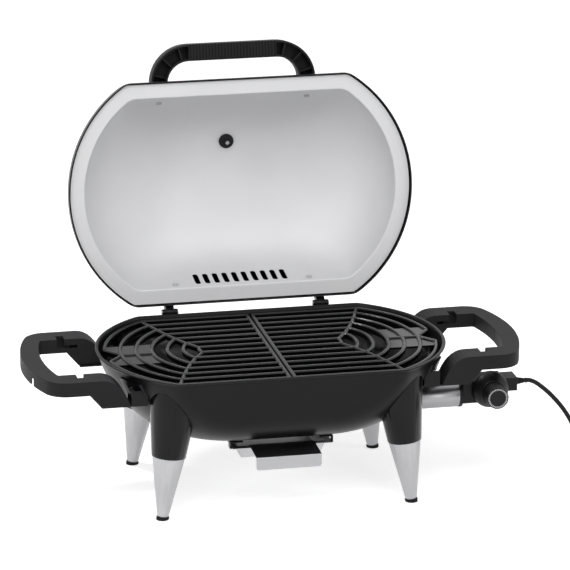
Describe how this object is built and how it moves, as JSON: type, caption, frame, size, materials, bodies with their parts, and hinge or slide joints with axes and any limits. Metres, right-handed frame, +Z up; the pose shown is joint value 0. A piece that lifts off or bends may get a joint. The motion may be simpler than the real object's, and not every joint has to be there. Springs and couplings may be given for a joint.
{
  "type": "electric tabletop grill with hinged lid",
  "caption": "Electric tabletop grill: oval bowl on cone legs, split grate, hinged domed lid, side handles, drip tray and plug-in heat control.",
  "frame": {"origin": "on the table, under the middle of the whole grill with its lid open, the free cord left out", "axes": "+X to the user's right, along the bowl's length; +Y away from the user, towards the lid's hinges; +Z up"},
  "size_m": [0.9978, 0.5301, 0.6292],
  "materials": {
    "bowl_enamel": "black coating, slightly glossy",
    "lid_enamel": "black coating, slightly glossy",
    "lid_lining": "fine satin",
    "black_fittings": "black coating",
    "grate": "black non-stick coating",
    "pan": "dark enamel, glossy",
    "tray": "bright satin",
    "pull": "brushed along its width",
    "leg_silver": "fine satin",
    "leg_black": "matt black heat-proof plastic",
    "foot_rubber": "matt black",
    "handle_plastic": "matt black heat-proof plastic",
    "control_plastic": "matt black",
    "switch_plastic": "pale, unglazed",
    "cord_rubber": "matt black",
    "heater_tube": "dark oxidised steel",
    "steel": "plain steel",
    "polished_steel": "polished",
    "brass": "plain",
    "dial_face": "white",
    "needle_red": "red",
    "lens": "clear"
  },
  "bodies": {
    "base": {"bowl": "bowl_enamel", "grate_supports": "black_fittings", "reflector_pan": "pan", "heater_element": "heater_tube", "heater_supports": "steel", "heat_shield_sleeve": "steel", "front_left_upper_leg": "leg_black", "front_right_upper_leg": "leg_black", "back_left_upper_leg": "leg_black", "back_right_upper_leg": "leg_black", "front_left_lower_leg": "leg_silver", "front_right_lower_leg": "leg_silver", "back_left_lower_leg": "leg_silver", "back_right_lower_leg": "leg_silver", "foot_caps": "foot_rubber", "leg_bolts": "steel", "left_side_handle": "handle_plastic", "right_side_handle": "handle_plastic", "handle_brackets": "black_fittings", "handle_screws": "steel", "hinge_bowl_leaves": "black_fittings", "hinge_pins": "steel", "hinge_bowl_screws": "steel", "tray_rails": "black_fittings", "rail_rivets": "steel"},
    "lid": {"lid_shell": "lid_enamel", "lid_liner": "lid_lining", "lid_handle": "handle_plastic", "lid_handle_screws": "steel", "lid_spacers": "steel", "hinge_lid_leaves": "black_fittings", "hinge_lid_screws": "steel", "thermometer_housing": "polished_steel", "thermometer_dial": "dial_face", "thermometer_lens": "lens", "thermometer_stem": "steel", "thermometer_nut": "black_fittings"},
    "thermometer_needle": {"thermometer_needle": "needle_red"},
    "heat_control": {"control_housing": "control_plastic", "control_cover": "control_plastic", "housing_screws": "steel", "contact_sockets": "brass", "sensor_probe": "steel", "thermostat_switch": "switch_plastic", "strain_relief": "cord_rubber", "cord": "cord_rubber", "cord_coil": "cord_rubber", "cord_tie": "cord_rubber", "power_plug": "cord_rubber"},
    "thermostat_knob": {"thermostat_knob": "control_plastic", "knob_ring": "polished_steel", "knob_shaft": "steel"},
    "grate_left": {"grate_left": "grate"},
    "grate_right": {"grate_right": "grate"},
    "drip_tray": {"drip_tray": "tray", "tray_pull": "pull"}
  },
  "joints": [
    {"name": "lid_hinge", "type": "hinge", "parent": "base", "child": "lid", "pos_m": [0, 0.0933, 0.2254], "axis": [1, 0, 0], "range_deg": [0, 99.5]},
    {"name": "thermometer_needle_turn", "type": "hinge", "parent": "lid", "child": "thermometer_needle", "pos_m": [0, 0.25251, 0.45659], "axis": [0, 0.9992, 0.0411], "range_deg": [0, 270]},
    {"name": "heat_control_pull", "type": "slide", "parent": "base", "child": "heat_control", "axis": [1, 0, 0], "range_m": [0, 0.07]},
    {"name": "thermostat_knob_turn", "type": "hinge", "parent": "heat_control", "child": "thermostat_knob", "pos_m": [0.328, -0.168, 0.155], "axis": [0, -1, 0], "range_deg": [0, 270]},
    {"name": "grate_left_lift", "type": "slide", "parent": "base", "child": "grate_left", "axis": [0, 0, 1], "range_m": [0, 0.17]},
    {"name": "grate_right_lift", "type": "slide", "parent": "base", "child": "grate_right", "axis": [0, 0, 1], "range_m": [0, 0.17]},
    {"name": "drip_tray_slide", "type": "slide", "parent": "base", "child": "drip_tray", "axis": [0, -1, 0], "range_m": [0, 0.15]}
  ]
}
